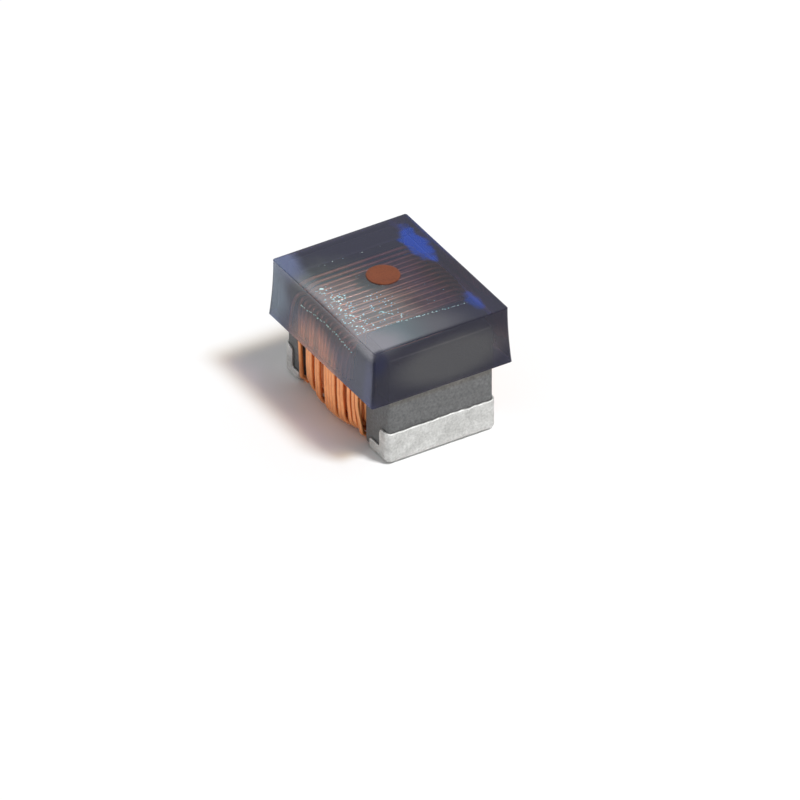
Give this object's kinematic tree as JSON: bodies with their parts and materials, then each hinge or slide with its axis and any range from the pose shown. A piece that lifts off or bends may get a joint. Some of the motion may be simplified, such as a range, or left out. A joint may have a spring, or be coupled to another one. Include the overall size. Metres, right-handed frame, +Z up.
{
  "type": "wirewound chip inductor",
  "caption": "Surface-mount wirewound inductor: a dumbbell ferrite core on two plated feet, a bunched copper coil and a translucent resin cap with a painted dot.",
  "frame": {"origin": "on the seating plane, under the middle of the core", "axes": "+X along the core towards its thicker flange, +Y across the core away from the side the leads come down, +Z up through the resin cap"},
  "size_m": [0.0022, 0.0018, 0.0015],
  "materials": {
    "ferrite": "satin",
    "plating": "satin",
    "copper_wire": "gloss",
    "resin": "gloss",
    "dot_paint": "matte"
  },
  "bodies": {
    "root": {"core": "ferrite", "front_terminal": "plating", "rear_terminal": "plating", "winding": "copper_wire", "resin_cap": "resin", "colour_dot": "dot_paint"}
  },
  "joints": []
}
